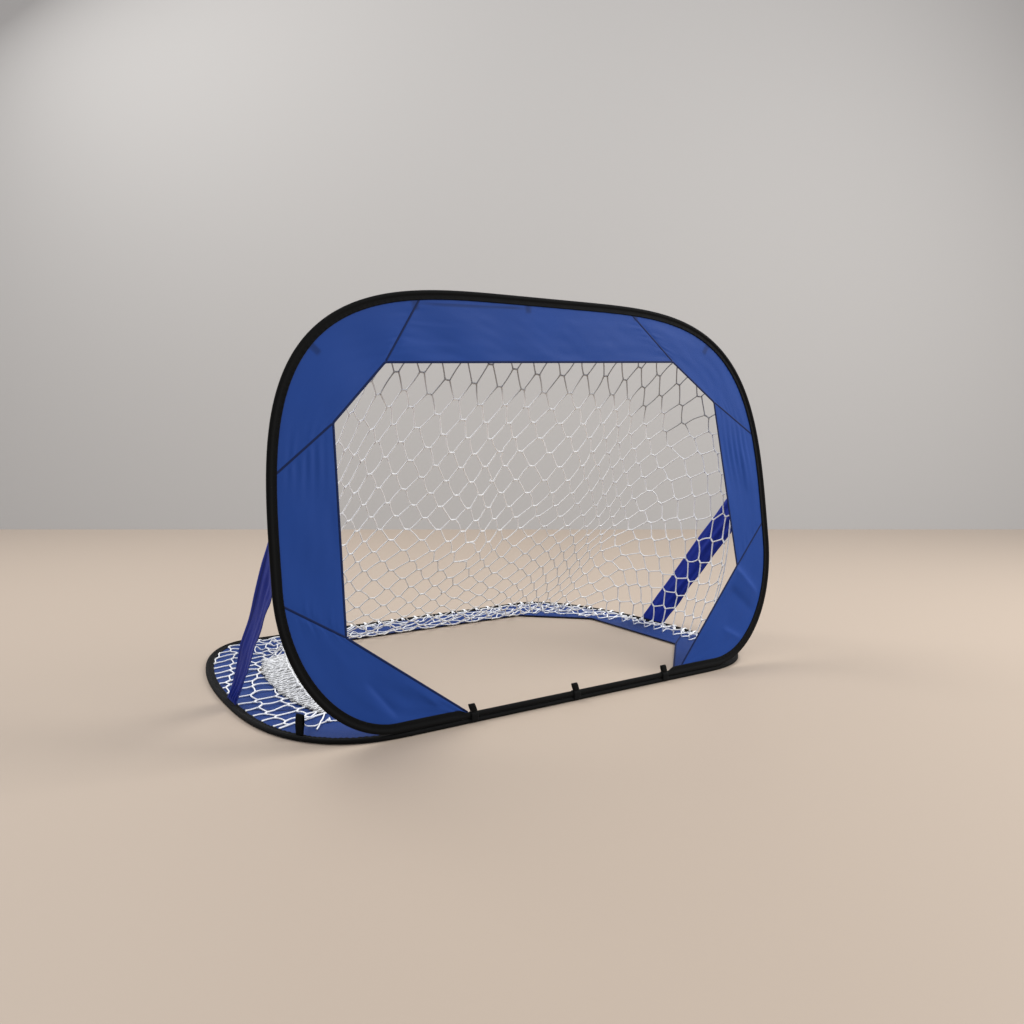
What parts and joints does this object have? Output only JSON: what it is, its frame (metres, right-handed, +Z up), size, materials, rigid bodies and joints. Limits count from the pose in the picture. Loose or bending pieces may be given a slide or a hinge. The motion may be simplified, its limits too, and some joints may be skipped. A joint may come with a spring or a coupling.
{
  "type": "folding soccer goal",
  "caption": "Folding goal: a rounded cloth-edged mouth hoop leans on a matching base hoop, with a hexagonal net and two side straps; the mouth folds back flat onto the base.",
  "frame": {"origin": "on the floor, under the middle of the base hoop", "axes": "+X to the right across the mouth seen from in front, +Y from the mouth to the back of the base, +Z up"},
  "size_m": [1.33, 0.9286, 0.892],
  "materials": {
    "panel_cloth": "plain-woven royal blue nylon with a soft sheen",
    "binding_cloth": "matt black woven binding tape",
    "strap_cloth": "violet blue flat cloth strap, hemmed edges",
    "tie_webbing": "matt black narrow webbing",
    "net_twine": "white knotless twine",
    "spring_steel": "blued tempered flat spring steel",
    "ferrule_steel": "zinc plated crimp"
  },
  "bodies": {
    "base": {"base_binding": "binding_cloth", "base_spring_band": "spring_steel", "base_band_ferrule": "ferrule_steel", "base_rear_band": "panel_cloth", "base_rear_corner_left": "panel_cloth", "base_rear_corner_right": "panel_cloth", "base_side_band_left": "panel_cloth", "base_side_band_right": "panel_cloth", "base_front_gusset_left": "panel_cloth", "base_front_gusset_right": "panel_cloth", "hinge_tie_left": "tie_webbing", "hinge_tie_centre": "tie_webbing", "hinge_tie_right": "tie_webbing", "net_tie_base_left": "tie_webbing", "net_tie_base_right": "tie_webbing", "side_strap_left": "strap_cloth", "side_strap_right": "strap_cloth", "net": "net_twine", "net_cord_tail": "net_twine"},
    "face": {"face_binding": "binding_cloth", "face_spring_band": "spring_steel", "face_band_ferrule": "ferrule_steel", "face_top_band": "panel_cloth", "face_top_corner_left": "panel_cloth", "face_top_corner_right": "panel_cloth", "face_side_band_left": "panel_cloth", "face_side_band_right": "panel_cloth", "face_foot_gusset_left": "panel_cloth", "face_foot_gusset_right": "panel_cloth", "net_tie_top_left": "tie_webbing", "net_tie_top_centre": "tie_webbing", "net_tie_top_right": "tie_webbing", "net_tie_corner_left": "tie_webbing", "net_tie_corner_right": "tie_webbing"}
  },
  "joints": [
    {"name": "face_fold", "type": "hinge", "parent": "base", "child": "face", "pos_m": [0, -0.4575, 0.01662], "axis": [-1, 0, 0], "range_deg": [0, 82], "stiffness_Nm_per_rad": 1.5, "springref_deg": -28.65, "deforming": ["net", "side_strap_left", "side_strap_right", "net_tie_base_left", "net_tie_base_right", "net_cord_tail"]}
  ]
}
